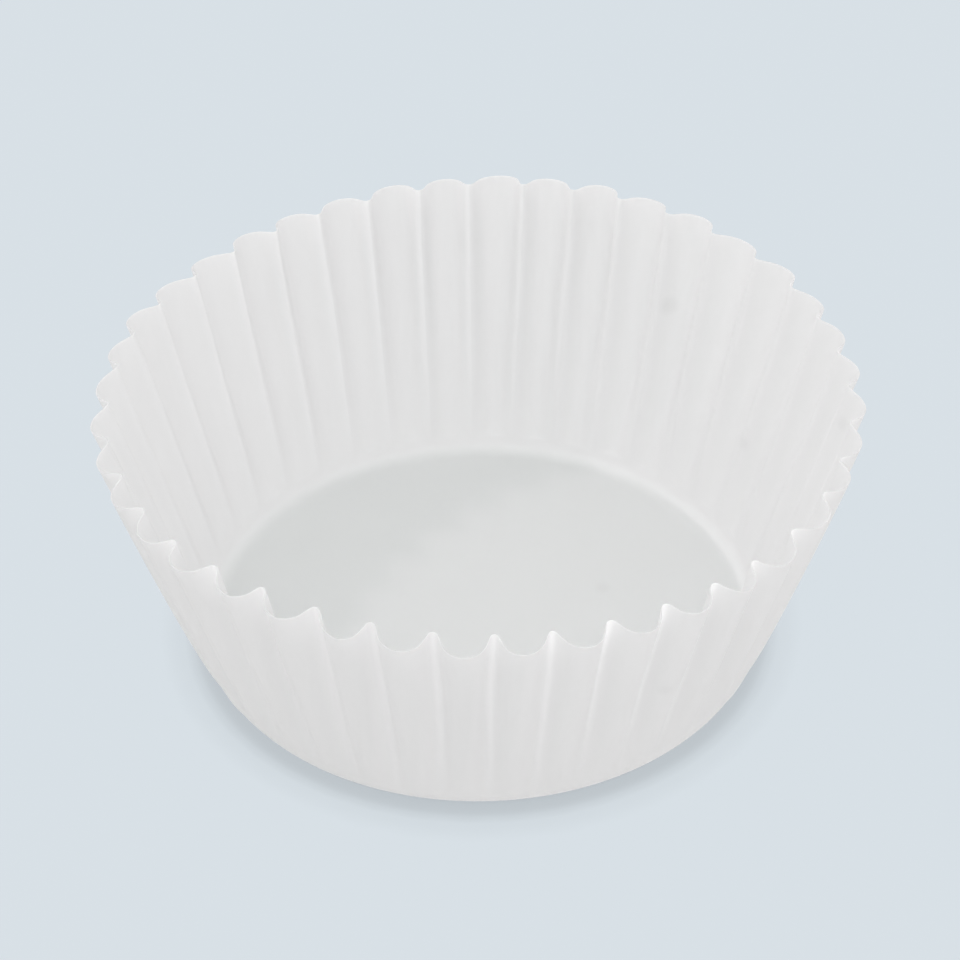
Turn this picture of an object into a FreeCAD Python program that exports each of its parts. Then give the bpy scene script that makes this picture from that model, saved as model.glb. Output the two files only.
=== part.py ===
# Paper cupcake liner: one round sheet of thin greaseproof paper, pressed between
# fluted dies into a cup with a flat floor and a flaring wall of round flutes.
# The floor rests on z = 0 and the Z axis runs up through the middle of the cup.
import FreeCAD, Part
import math
import os

# Sizes in millimetres, taken on the inner face of the paper
floor_diameter = 50.0
mouth_diameter = 64.8
wall_length = 27.6
flute_count = 40
flute_depth = 2.5
floor_fold_radius = 0.8
paper_thickness = 0.06

# Radius of a crest, as a share of the arc that would fill its flute from fold to fold
crest_fill = 0.8
# Flat panels that stand for the round of a crest, of the floor fold and of a rising flute
crest_panels = 6
fold_panels = 2
rise_panels = 4

floor_radius = floor_diameter / 2
mouth_radius = mouth_diameter / 2
half_turn = math.pi / flute_count
# Lean of the wall from upright, along the inward folds
wall_lean = math.asin((mouth_radius - floor_radius) / wall_length)
# The fold between floor and wall turns the paper by this, and takes this much of the wall
fold_turn = math.pi / 2 - wall_lean
fold_reach = floor_fold_radius * math.tan(fold_turn / 2)


def steps(start, end, count):
    """Evenly spaced values from start to end, in a number of steps."""
    return [start + (end - start) * step / count for step in range(count + 1)]


def floor_fold_rows(offset):
    """Rows of points round the fold between floor and wall, across one flute's share of it."""
    centre_radius = floor_radius - fold_reach
    centre_height = paper_thickness + floor_fold_radius
    bend = floor_fold_radius + offset
    rows = []
    for turn in steps(0, fold_turn, fold_panels):
        radius = centre_radius + bend * math.sin(turn)
        height = centre_height - bend * math.cos(turn)
        rows.append([
            FreeCAD.Vector(radius * math.cos(angle), radius * math.sin(angle), height)
            for angle in steps(-half_turn, half_turn, crest_panels + 2)])
    return rows


def flute_row(reach, depth, offset):
    """Points over one flute at a reach up the wall from the floor's corner, square to the
    wall: the left fold, the round crest between two straight flanks, and the right fold."""
    fold_radius = floor_radius + reach * math.sin(wall_lean)
    fold_height = paper_thickness + reach * math.cos(wall_lean)
    half_width = fold_radius * math.sin(half_turn)
    crest_radius = crest_fill * (half_width ** 2 + depth ** 2) / (2 * depth)
    centre_out = depth - crest_radius
    centre_distance = math.hypot(half_width, centre_out)
    flank_angle = math.atan2(centre_out, half_width) + math.asin(crest_radius / centre_distance)

    # The paper's outer face folds further out, in the same upright plane through the axis
    fold_across = math.sin(half_turn)
    fold_out = math.cos(half_turn) / math.cos(wall_lean)
    slide = offset / (fold_across * math.sin(flank_angle) + fold_out * math.cos(flank_angle))
    fold_across = half_width + slide * fold_across
    fold_out = slide * fold_out

    bend = crest_radius + offset
    section = [(-fold_across, fold_out)]
    for angle in steps(-flank_angle, flank_angle, crest_panels):
        section.append((bend * math.sin(angle), centre_out + bend * math.cos(angle)))
    section.append((fold_across, fold_out))
    chord_radius = fold_radius * math.cos(half_turn)
    return [
        FreeCAD.Vector(
            chord_radius + out * math.cos(wall_lean), across, fold_height - out * math.sin(wall_lean))
        for across, out in section]


def face_rows(offset):
    """All rows of one flute on one face of the paper, from the floor's edge to the rim.
    The paper left over round the cup grows up the wall, so a flute deepens with the square
    root of its height, and rows at even steps of depth stand at squared steps of height."""
    rows = floor_fold_rows(offset)
    for rise in steps(0, 1, rise_panels)[1:]:
        reach = fold_reach + (wall_length - fold_reach) * rise ** 2
        rows.append(flute_row(reach, flute_depth * rise, offset))
    return rows


def panel(*corners):
    return Part.Face(Part.makePolygon(list(corners) + [corners[0]]))


def face_panels(rows):
    """Flat panels between the rows, their diagonals mirrored about the middle of the flute."""
    panels = []
    for low, high in zip(rows[:-1], rows[1:]):
        for column in range(len(low) - 1):
            a, b, c, d = low[column], low[column + 1], high[column + 1], high[column]
            if column < len(low) // 2:
                panels += [panel(a, b, d), panel(b, c, d)]
            else:
                panels += [panel(a, b, c), panel(a, c, d)]
    return panels


def liner():
    inner = face_rows(0)
    outer = face_rows(paper_thickness)
    flute = face_panels(inner) + face_panels(outer) + face_panels([inner[-1], outer[-1]])
    centre = FreeCAD.Vector(0, 0, 0)
    up = FreeCAD.Vector(0, 0, 1)
    panels = []
    for turn in range(flute_count):
        panels += [part.rotated(centre, up, 360 * turn / flute_count) for part in flute]
    for floor_edge in (inner[0], outer[0]):
        ring = []
        for turn in range(flute_count):
            spin = FreeCAD.Rotation(up, 360 * turn / flute_count)
            ring += [spin.multVec(point) for point in floor_edge[:-1]]
        panels.append(panel(*ring))
    sheet = Part.Shell(panels)
    sheet.sewShape()
    solid = Part.Solid(sheet)
    if solid.Volume < 0:
        solid.reverse()
    return solid


os.makedirs("parts", exist_ok=True)
cup = liner()
cup.exportStep("parts/liner.step")
print("liner", cup.isValid(), round(cup.Volume, 2), cup.BoundBox)
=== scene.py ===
import math
import bpy
from mathutils import Matrix, Vector


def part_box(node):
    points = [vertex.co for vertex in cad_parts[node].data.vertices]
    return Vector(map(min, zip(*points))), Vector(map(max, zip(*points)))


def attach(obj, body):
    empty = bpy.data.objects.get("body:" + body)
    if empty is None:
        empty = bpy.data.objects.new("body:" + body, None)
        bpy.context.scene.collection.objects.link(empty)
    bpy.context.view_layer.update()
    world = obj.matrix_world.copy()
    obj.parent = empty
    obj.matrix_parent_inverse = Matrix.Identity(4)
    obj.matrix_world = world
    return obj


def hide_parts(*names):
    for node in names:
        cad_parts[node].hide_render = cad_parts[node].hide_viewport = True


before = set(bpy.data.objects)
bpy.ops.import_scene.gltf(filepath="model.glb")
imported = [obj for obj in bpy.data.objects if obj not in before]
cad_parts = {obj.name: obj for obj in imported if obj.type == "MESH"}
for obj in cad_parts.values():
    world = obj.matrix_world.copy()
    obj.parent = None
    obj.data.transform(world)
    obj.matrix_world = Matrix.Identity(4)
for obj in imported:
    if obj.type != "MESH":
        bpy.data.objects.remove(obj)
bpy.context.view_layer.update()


# Liner: one round sheet of thin white greaseproof paper, pressed between fluted dies
# into a cup. The dies gather the wall into forty flutes, round outside and folded sharp
# inside, and the paper left over round the cup deepens them towards the scalloped rim.
MM = 0.001
cad_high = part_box("liner")[1]
flute_count = 40
paper_thickness = 0.06 * MM
floor_radius = 25 * MM
wall_length = 27.6 * MM
floor_fold_radius = 1.8 * MM
crest_fill = 0.75
fold_fill = 0.2
low_fold_fill = 0.4
half_turn = math.pi / flute_count
wall_lean = math.acos((cad_high.z - paper_thickness) / wall_length)
mouth_radius = floor_radius + wall_length * math.sin(wall_lean)
crest_out = cad_high.x - mouth_radius * math.cos(half_turn)
flute_depth = crest_out / math.cos(wall_lean) - paper_thickness

# Columns across a flute, and rows over the floor, its fold and the wall. The columns stand
# a little closer at the folds, and the rows closer low on the wall.
flute_columns = 24
floor_rows = 6
fold_rows = 6
wall_rows = 36
even_share = 0.25
row_power = 1.5
least_depth = 0.001 * MM
join_distance = 0.004 * MM
sharp_angle = math.radians(60)

# Unevenness of the pressing: share of a flute's depth, share of its depth that it leans to
# one side, turn round the cup and distance out. The scales say how fast the last two vary,
# up the wall and in all, and the seeds keep the random draws apart.
depth_unevenness = 0.08
skew_unevenness = 0.12
turn_unevenness = math.radians(0.9)
out_unevenness = 0.35 * MM
height_scale = 12
turn_scale = 5.0
out_scale = 4.0
skew_seed = 31.7
out_seed = 5

# Handling has pushed the mouth and the floor out of round and opened some flutes. Each
# entry says where round the cup, how wide, and how far out or by what share.
mouth_pushes = [
    (0, 34, 0.8 * MM),
    (80, 18, 0.25 * MM),
    (128, 20, -1.0 * MM),
    (196, 24, 0.9 * MM),
    (243, 14, -0.55 * MM),
]
floor_pushes = [
    (5, 40, 0.65 * MM),
    (215, 50, 0.48 * MM),
]
flute_openings = [
    (5, 34, -0.4),
    (182, 30, -0.36),
]
# Folds that sit a little round from their even place: where, how wide, and by how much
fold_nudges = [
    (58, 10, 1.3),
    (110, 14, -0.6),
    (238, 10, -0.9),
    (264, 18, 0.6),
    (320, 9, -1.2),
]

# Tone of the paper, matched to the photo, with light and shade painted in. Each place says where
# round the cup and how wide: flutes with one flank painted darker as shade and the folds painted a
# little whiter as light, flutes with folds painted duller as shade, tips of folds on the rim that let
# more light through, and whole fold lines that do.
# Painted shade on one flank of each far-left flute, and a painted highlight on its folds
shaded_flank_place = (120, 30)
flank_painted_shade = 0.7
fold_painted_highlight = 0.15
fold_highlight_middle = 0.5
# Painted shade that dulls the folds of the far middle-right flutes
shaded_fold_place = (70, 26)
fold_painted_shade = 0.6
fold_shade_middle = 0.33
thin_tip_places = [(220, 16), (317, 30)]
thin_line_place = (287, 22)
thin_line_share = 0.42
# How far from the crest a tip or a line starts, how fast it comes on, and the rim's band
tip_start = 0.4
tip_ramp = 0.5
line_start = 0.62
line_ramp = 0.25
rim_start = 0.9
rim_ramp = 0.08


class Wire:
    """A node socket, wrapped so that sums on it add Math nodes to its tree."""

    def __init__(self, tree, socket=None):
        self.tree = tree
        self.socket = socket

    def node(self, kind, settings=None, sockets=None, output=0):
        """Adds a node: its settings come first, then the values or links of its sockets."""
        made = self.tree.nodes.new(kind)
        for name, value in (settings or {}).items():
            setattr(made, name, value)
        for name, value in (sockets or {}).items():
            if isinstance(value, Wire):
                self.tree.links.new(value.socket, made.inputs[name])
            else:
                made.inputs[name].default_value = value
        return Wire(self.tree, made.outputs[output]) if made.outputs else made

    def split(self):
        """The three parts of a vector."""
        parts = self.node("ShaderNodeSeparateXYZ", None, {0: self}).socket.node
        return [Wire(self.tree, part) for part in parts.outputs]

    def mix(self, low, high):
        """A colour between two others, by the share on this wire."""
        return self.node("ShaderNodeMix", {"data_type": "RGBA"}, {0: self, 6: low, 7: high}, output=2)

    def maths(self, operation, *others):
        values = (self,) + others
        return self.node("ShaderNodeMath", {"operation": operation}, dict(enumerate(values)))

    def __add__(self, other):
        return self.maths("ADD", other)

    def __radd__(self, other):
        return self + other

    def __sub__(self, other):
        return self.maths("SUBTRACT", other)

    def __rsub__(self, other):
        return self * -1 + other

    def __mul__(self, other):
        return self.maths("MULTIPLY", other)

    def __rmul__(self, other):
        return self * other

    def __truediv__(self, other):
        return self.maths("DIVIDE", other)

    def size(self):
        return self.maths("ABSOLUTE")

    def sin(self):
        return self.maths("SINE")

    def cos(self):
        return self.maths("COSINE")

    def hypot(self, other):
        return (self * self + other * other).maths("SQRT")

    def clamp(self, low=0, high=1):
        return self.maths("MAXIMUM", low).maths("MINIMUM", high)


def near_angle(angle, place, width):
    """1 at a place round the cup, given in degrees, falling away over a width to each side."""
    tightness = 1 / math.radians(width) ** 2
    return (((angle - math.radians(place)).cos() - 1) * tightness).maths("EXPONENT")


def smooth_noise(angle, height, seed, scale):
    """Even noise round the cup and up it, from -1 to 1."""
    place = angle.node("ShaderNodeCombineXYZ", None, {0: angle.cos() + seed, 1: angle.sin(), 2: height})
    noise = angle.node("ShaderNodeTexNoise", None, {"Vector": place, "Scale": scale, "Detail": 1.0})
    return (noise - 0.5) * 2


def flute_noise(flute, seed):
    """One even random number from -1 to 1 for each flute."""
    value = flute.node("ShaderNodeTexWhiteNoise", {"noise_dimensions": "1D"}, {"W": flute + seed})
    return value * 2 - 1


def fluted_sheet():
    """The tree that lays a grid out as the liner's inner face."""
    tree = bpy.data.node_groups.new("Fluted sheet", "GeometryNodeTree")
    sizes = {
        "Floor Radius": floor_radius,
        "Wall Length": wall_length,
        "Wall Lean": wall_lean,
        "Floor Fold Radius": floor_fold_radius,
        "Flute Depth": flute_depth,
        "Crest Fill": crest_fill,
        "Fold Fill": fold_fill,
        "Low Fold Fill": low_fold_fill,
        "Unevenness": 1.0,
        "Seed": 7.0,
    }
    sockets = {}
    for name, size in sizes.items():
        socket = tree.interface.new_socket(name, in_out="INPUT", socket_type="NodeSocketFloat")
        sockets[name] = socket.identifier
    tree.interface.new_socket("Geometry", in_out="OUTPUT", socket_type="NodeSocketGeometry")
    start = Wire(tree)
    group = tree.nodes.new("NodeGroupInput")
    given = {name: Wire(tree, group.outputs[name]) for name in sizes}
    seed = given["Seed"]
    uneven = given["Unevenness"]

    rows = floor_rows + fold_rows + wall_rows
    columns = flute_count * flute_columns
    grid = start.node("GeometryNodeMeshGrid", None, {
        "Size X": float(flute_count), "Size Y": float(rows),
        "Vertices X": columns + 1, "Vertices Y": rows + 1})
    along, row = start.node("GeometryNodeInputPosition").split()[:2]
    row = row + rows / 2

    # Which flute a column is in, and how far it is from the crest, 1 being the fold
    flute = along.maths("ROUND")
    number = flute.maths("FLOORED_MODULO", flute_count)
    side = (along - flute) * 2
    hand = side.maths("SIGN")
    spread = (side.size() * (math.pi / 2)).sin() * (1 - even_share) + side.size() * even_share
    even_place = flute * (2 * half_turn)

    # How far each row is over the floor, round its fold and up the wall
    over_floor = (row / floor_rows).clamp()
    round_fold = ((row - floor_rows) / fold_rows).clamp()
    up_wall = ((row - floor_rows - fold_rows) / wall_rows).clamp()
    lean = given["Wall Lean"]
    bend = given["Floor Fold Radius"]
    turn = (math.pi / 2 - lean) * round_fold
    reach_gone = bend * ((math.pi / 2 - lean) / 2).maths("TANGENT")
    climb = (given["Wall Length"] - reach_gone) * up_wall.maths("POWER", row_power)
    fold_out = (given["Floor Radius"] - reach_gone) * over_floor
    fold_out = fold_out + bend * turn.sin() + climb * lean.sin()
    fold_up = bend * (1 - turn.cos()) + climb * lean.cos() + paper_thickness

    # The section of a flute: a round crest, a straight flank and a tight inward fold
    rise = (climb / (given["Wall Length"] - reach_gone)).maths("SQRT")
    deep = 1 + flute_noise(number, seed) * uneven * depth_unevenness
    for place, width, share in flute_openings:
        deep = deep + near_angle(even_place, place, width) * uneven * share
    depth = (given["Flute Depth"] * rise * deep).maths("MAXIMUM", least_depth)
    half_width = fold_out * math.sin(half_turn)
    fullest = (half_width * half_width + depth * depth) / (depth * 2)
    fold_share = given["Low Fold Fill"] + (given["Fold Fill"] - given["Low Fold Fill"]) * rise * rise
    crest = fullest * (given["Crest Fill"] + given["Fold Fill"] - fold_share)
    tight = fullest * fold_share
    centre_out = depth - crest
    gap_across = half_width + tight * math.sin(half_turn)
    gap_out = centre_out - tight * math.cos(half_turn)
    gap = gap_across.hypot(gap_out)
    flank = gap_out.maths("ARCTAN2", gap_across) + ((crest + tight) / gap).maths("ARCSINE")
    crest_run = crest * flank
    flank_run = (gap * gap - (crest + tight) * (crest + tight)).maths("SQRT")
    tight_turn = flank - half_turn
    run = (crest_run + flank_run + tight * tight_turn) * spread
    on_crest = run.maths("MINIMUM", crest_run) / crest
    on_flank = (run - crest_run).maths("MAXIMUM", 0).maths("MINIMUM", flank_run)
    on_tight = (run - crest_run - flank_run).maths("MAXIMUM", 0) / tight
    across = crest * on_crest.sin() + on_flank * flank.cos()
    across = across + tight * (flank.sin() - (flank - on_tight).sin())
    out = centre_out + crest * on_crest.cos() - on_flank * flank.sin()
    out = out - tight * ((flank - on_tight).cos() - flank.cos())
    fluted = up_wall.maths("GREATER_THAN", 0)
    across = fluted * across + (1 - fluted) * fold_out * (side.size() * half_turn).sin()
    out = fluted * out
    across = across * hand + out * flute_noise(number, seed + skew_seed) * uneven * skew_unevenness

    # The flute stands square to the wall on the round of the cup
    round_out = (fold_out * fold_out - across * across).maths("MAXIMUM", 0).maths("SQRT")
    middle = (fold_out * math.cos(half_turn)) * fluted + round_out * (1 - fluted)
    radial = middle + out * lean.cos()
    height = fold_up - out * lean.sin()
    angle = even_place + across.maths("ARCTAN2", radial.maths("MAXIMUM", 1e-9))
    radius = across.hypot(radial)

    # What handling has done to it
    lift = height / (wall_length * math.cos(wall_lean))
    for place, width, push in mouth_pushes:
        radius = radius + near_angle(angle, place, width) * lift * uneven * push
    low = (1 - lift).maths("MAXIMUM", 0) * over_floor
    for place, width, push in floor_pushes:
        radius = radius + near_angle(angle, place, width) * low * uneven * push
    turned = angle
    for place, width, nudge in fold_nudges:
        turned = turned + near_angle(angle, place, width) * lift * uneven * math.radians(nudge)
    turn_noise = smooth_noise(angle, height * height_scale, seed, turn_scale)
    turned = turned + turn_noise * lift * uneven * turn_unevenness
    out_noise = smooth_noise(angle, height * height_scale, seed + out_seed, out_scale)
    radius = radius + out_noise * lift * uneven * out_unevenness

    placed = start.node("ShaderNodeCombineXYZ", None, {
        0: radius * turned.cos(), 1: radius * turned.sin(), 2: height})

    # Painted light and shade in the paper's tone, 0.5 being its middle tone: a painted shaded flank and
    # painted whiter folds at the far left, painted duller folds further right; and where it lets more
    # light through
    painted_tone = (side * side - fold_highlight_middle) * fold_painted_highlight - side * flank_painted_shade
    painted_tone = painted_tone * near_angle(even_place, *shaded_flank_place)
    fold_shade_mask = (side * side - fold_shade_middle) * near_angle(even_place, *shaded_fold_place)
    painted_tone = painted_tone - fold_shade_mask * fold_painted_shade
    painted_tone = painted_tone * rise + 0.5
    shown = 0
    for place, width in thin_tip_places:
        shown = near_angle(even_place, place, width) + shown
    at_rim = ((rise - rim_start) / rim_ramp).clamp()
    thin = ((side.size() - tip_start) / tip_ramp).clamp() * at_rim * shown
    line = ((side.size() - line_start) / line_ramp).clamp() * near_angle(even_place, *thin_line_place)
    thin = thin + line * rise * thin_line_share
    marked = grid
    for name, value in (("painted_tone", painted_tone), ("thin", thin)):
        marked = start.node("GeometryNodeStoreNamedAttribute", {"data_type": "FLOAT", "domain": "POINT"}, {
            "Geometry": marked, "Name": name, "Value": value})
    laid = start.node("GeometryNodeSetPosition", None, {"Geometry": marked, "Position": placed})
    closed = start.node("GeometryNodeMergeByDistance", None, {"Geometry": laid, "Distance": join_distance})
    smooth = start.node("GeometryNodeSetShadeSmooth", None, {"Geometry": closed})
    real = start.node("GeometryNodeRealizeInstances", None, {"Geometry": smooth})
    done = start.node("GeometryNodeSetMaterial", None, {"Geometry": real, "Material": paper})
    end = tree.nodes.new("NodeGroupOutput")
    tree.links.new(done.socket, end.inputs[0])
    return tree, sockets, sizes


# The paper is white and matt, and thin enough that more light goes through a face than
# comes back off it. The flat floor is a little greener and painted lighter, as painted light
# against its shade, and the rim's cut edge is painted grey, as painted shade on its top.
# The paper's tone runs between the dark and light colours: the painted light and shade of the flutes, with
# a random cloud of grain
dark_colour = (0.845, 0.845, 0.845, 1)
light_colour = (0.98, 0.98, 0.98, 1)
painted_light_floor_colour = (0.951, 0.97, 0.963, 1)
through_colour = (0.952, 0.952, 0.952, 1)
cut_edge_shade_colour = (0.62, 0.62, 0.62, 1)
smudge_colour = (0.6, 0.6, 0.6, 1)
paper_roughness = 0.55
clear_share = 0.62
thin_clear_share = 0.36
cloud_scale = 90.0
cloud_share = 0.15
# The cut edge faces up above this height and takes painted shade, and the floor lies flat below
# that one and takes painted light. A mask comes on over one millimetre of height, and at this tilt
# and pace as a face turns level.
cut_edge_low = 10 * MM
cut_edge_tilt = 0.8
cut_edge_pace = 10
flat_floor_high = 2 * MM
flat_floor_tilt = 0.55
flat_floor_pace = 2.4
# Small grey smudges: where, how wide, and how dark
smudges = [
    ((16.85 * MM, 26.25 * MM, 17.38 * MM), 1.6 * MM, 0.3),
    ((32.72 * MM, 1.65 * MM, 23.12 * MM), 1.2 * MM, 0.2),
    ((24.26 * MM, 14.64 * MM, 10.05 * MM), 1.2 * MM, 0.2),
    ((11.33 * MM, 4.87 * MM, 0.06 * MM), 1.2 * MM, 0.2),
    ((17.37 * MM, -25.43 * MM, 14.61 * MM), 1.2 * MM, 0.2),
]
paper = bpy.data.materials.new("Greaseproof paper")
paper.use_nodes = True
paper.node_tree.nodes.clear()
paint = Wire(paper.node_tree)
where = paint.node("ShaderNodeTexCoord", output=3)
up = where.split()[2]
facing_up = paint.node("ShaderNodeNewGeometry", output=1).split()[2]
cut_edge_shade_mask = ((facing_up - cut_edge_tilt) * cut_edge_pace).clamp() * ((up - cut_edge_low) / MM).clamp()
level = ((facing_up.size() - flat_floor_tilt) * flat_floor_pace).clamp()
flat_floor = level * ((flat_floor_high - up) / MM).clamp()
cloud = paint.node("ShaderNodeTexNoise", None, {"Vector": where, "Scale": cloud_scale, "Detail": 3.0})
# The painted light and shade of the flutes, read back from the sheet
painted_tone = paint.node("ShaderNodeAttribute", {"attribute_name": "painted_tone"}, output=2)
thin = paint.node("ShaderNodeAttribute", {"attribute_name": "thin"}, output=2)
shade = (painted_tone * (1 - cloud_share) + cloud * cloud_share).clamp().mix(dark_colour, light_colour)
# Painted light: the flat floor takes a lighter colour against the shade of the cup's floor
shade = flat_floor.mix(shade, painted_light_floor_colour)
# Painted shade: the up-facing cut edge of the rim is greyed
shade = cut_edge_shade_mask.mix(shade, cut_edge_shade_colour)
for place, width, depth in smudges:
    away = paint.node("ShaderNodeVectorMath", {"operation": "DISTANCE"}, {0: where, 1: place}, output=1)
    shade = ((1.5 - away * (2 / width)).clamp() * depth).mix(shade, smudge_colour)
body = paint.node("ShaderNodeBsdfPrincipled", None, {"Base Color": shade, "Roughness": paper_roughness})
glow = paint.node("ShaderNodeBsdfTranslucent", None, {"Color": through_colour})
clear = thin * thin_clear_share + clear_share
sheet = paint.node("ShaderNodeMixShader", None, {0: clear, 1: body, 2: glow})
paint.node("ShaderNodeOutputMaterial", None, {"Surface": sheet})

tree, sockets, sizes = fluted_sheet()
liner = bpy.data.objects.new("paper_liner", bpy.data.meshes.new("paper_liner"))
bpy.context.scene.collection.objects.link(liner)
flutes = liner.modifiers.new("Flutes", "NODES")
flutes.node_group = tree
for name, size in sizes.items():
    flutes[sockets[name]] = size
ply = liner.modifiers.new("Paper", "SOLIDIFY")
ply.thickness = paper_thickness
ply.offset = 1
ply.use_even_offset = True
bpy.context.view_layer.update()
graph = bpy.context.evaluated_depsgraph_get()
whole = bpy.data.meshes.new_from_object(liner.evaluated_get(graph))
liner.modifiers.clear()
liner.data = whole
whole.set_sharp_from_angle(angle=sharp_angle)
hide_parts("liner")
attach(liner, "root")

# Floor: a wide matt table, drawn as the photo's plain pale blue-grey ground. It throws an
# even light back up round the liner and keeps the soft shadow hugging the liner's foot.
floor_size = 6.0
floor_drop = 0.03 * MM
table_colour = (0.35, 0.35, 0.35, 1)
bounce_colour = (0.59, 0.59, 0.59, 1)
bounce_share = 0.7
plain_colour = (0.7, 0.764, 0.813, 1)
plain_share = 0.92
shadow_colour = (0, 0, 0, 1)
shadow_samples = 4
shadow_pace = 3
# The shadow's steps: how far from the paper each reaches, and how dark it is
shadow_steps = [(1.5 * MM, 0.08), (2.2 * MM, 0.11), (4.2 * MM, 0.07)]
table = bpy.data.meshes.new("floor")
corners = [
    (across * floor_size / 2, along * floor_size / 2, -floor_drop)
    for across, along in ((-1, -1), (1, -1), (1, 1), (-1, 1))]
table.from_pydata(corners, [], [(0, 1, 2, 3)])
floor = bpy.data.objects.new("floor", table)
bpy.context.scene.collection.objects.link(floor)
ground = bpy.data.materials.new("Pale floor")
ground.use_nodes = True
ground.node_tree.nodes.clear()
paint = Wire(ground.node_tree)
matt = paint.node("ShaderNodeBsdfDiffuse", None, {"Color": table_colour})
lit = paint.node("ShaderNodeEmission", None, {"Color": bounce_colour})
across, along = paint.node("ShaderNodeTexCoord", output=3).split()[:2]
round_liner = across.hypot(along).maths("GREATER_THAN", floor_radius)
bounce = paint.node("ShaderNodeMixShader", None, {0: round_liner * bounce_share, 1: matt, 2: lit})
shadow = 0
for reach, depth in shadow_steps:
    open_share = paint.node(
        "ShaderNodeAmbientOcclusion", {"samples": shadow_samples}, {"Distance": reach}, output=1)
    shadow = ((1 - open_share) * shadow_pace).clamp() * depth + shadow
plain = paint.node("ShaderNodeEmission", None, {"Color": shadow.mix(plain_colour, shadow_colour)})
seen = paint.node("ShaderNodeLightPath")
drawn = paint.node("ShaderNodeMixShader", None, {0: seen * plain_share, 1: bounce, 2: plain})
paint.node("ShaderNodeOutputMaterial", None, {"Surface": drawn})
table.materials.append(ground)

# Light: an even white room, a broad light overhead, a weaker one at the front left, a
# small warm lamp high on the left that casts the edge of shadow seen on the cup's floor,
# and a low broad one behind that shines through the far wall
room_strength = 1.007
backdrop_colour = (0.686, 0.745, 0.791, 1)
white = (1, 1, 1)
# Each light's name, strength, colour and spread, and how far round and how high it stands
lights = [
    ("Overhead", 0.55, white, 40, 90, 89),
    ("Front", 0.4, white, 24, 250, 60),
    ("Lamp", 0.31, (1, 0.88, 0.92), 3, 160, 49),
    ("Behind", 0.2, white, 50, 108, 12),
]
room = bpy.data.worlds.new("Room")
bpy.context.scene.world = room
room.use_nodes = True
room.node_tree.nodes.clear()
paint = Wire(room.node_tree)
seen = paint.node("ShaderNodeLightPath")
even = paint.node("ShaderNodeBackground", None, {"Strength": room_strength, "Color": (*white, 1)})
behind = paint.node("ShaderNodeBackground", None, {"Strength": 1.0, "Color": backdrop_colour})
both = paint.node("ShaderNodeMixShader", None, {0: seen, 1: even, 2: behind})
paint.node("ShaderNodeOutputWorld", None, {"Surface": both})
for name, strength, colour, spread, turn, height in lights:
    turn = math.radians(turn)
    height = math.radians(height)
    out = math.cos(height)
    towards = Vector((math.cos(turn) * out, math.sin(turn) * out, math.sin(height)))
    light = bpy.data.lights.new(name, "SUN")
    light.energy = strength
    light.color = colour
    light.angle = math.radians(spread)
    lamp = bpy.data.objects.new(name, light)
    lamp.rotation_mode = "QUATERNION"
    lamp.rotation_quaternion = towards.to_track_quat("Z", "Y")
    bpy.context.scene.collection.objects.link(lamp)

# Camera: the photograph's own angle, from a fit to the forty folds
camera_turn = math.radians(2.94)
camera_height = math.radians(39.36)
camera_roll = math.radians(-0.34)
camera_distance = 0.404
aim_up = 0.01296
lens = 162.04
sensor_width = 36
out = math.cos(camera_height)
back = Vector((math.sin(camera_turn) * out, -math.cos(camera_turn) * out, math.sin(camera_height)))
right = Vector((math.cos(camera_turn), math.sin(camera_turn), 0))
above = back.cross(right)
rolled_right = right * math.cos(camera_roll) + above * math.sin(camera_roll)
rolled_up = above * math.cos(camera_roll) - right * math.sin(camera_roll)
camera = bpy.data.cameras.new("Camera")
camera.lens = lens
camera.sensor_width = sensor_width
camera_object = bpy.data.objects.new("Camera", camera)
bpy.context.scene.collection.objects.link(camera_object)
placed = Matrix((rolled_right, rolled_up, back)).transposed().to_4x4()
placed.translation = back * camera_distance + rolled_up * aim_up
camera_object.matrix_world = placed
bpy.context.scene.camera = camera_object
bpy.context.scene.view_settings.view_transform = "Standard"
bpy.context.scene.cycles.diffuse_bounces = 12
